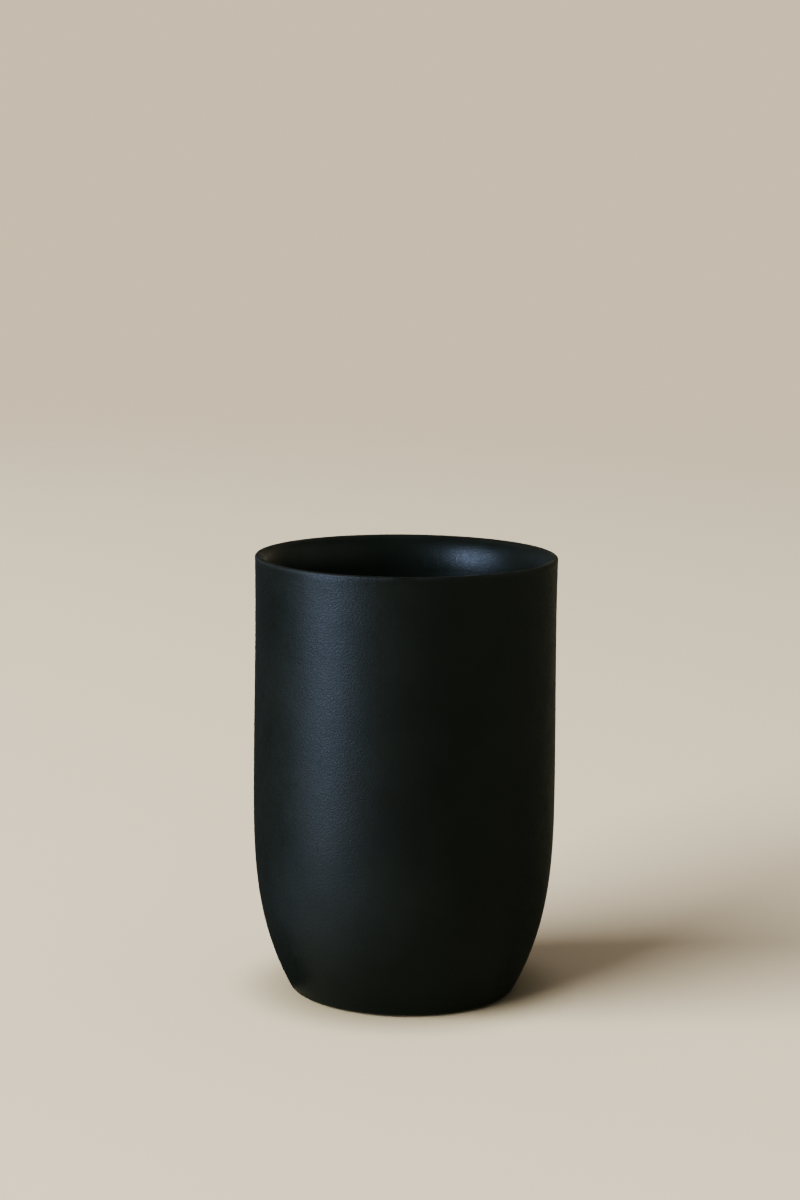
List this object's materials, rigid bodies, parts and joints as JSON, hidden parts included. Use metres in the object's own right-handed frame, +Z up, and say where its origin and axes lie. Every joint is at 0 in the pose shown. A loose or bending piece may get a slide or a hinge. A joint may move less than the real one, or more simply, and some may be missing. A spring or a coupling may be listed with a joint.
{
  "type": "candle jar",
  "caption": "Empty round candle jar with an open mouth, near-straight sides that draw in to a small foot, and a non-slip pad underneath.",
  "frame": {"origin": "middle of the base pad's underside, on the jar's turning axis: the middle of the bottom of its box", "axes": "+Z up along the turning axis towards the open mouth; the jar is round, so +X and +Y are free, and the reference view looks along +Y"},
  "size_m": [0.0804, 0.0804, 0.1175],
  "materials": {
    "jar_body": "satin-matte black glaze, inside and out",
    "base_pad": "matte, lightly textured"
  },
  "bodies": {
    "root": {"jar_body": "jar_body", "base_pad": "base_pad"}
  },
  "joints": []
}
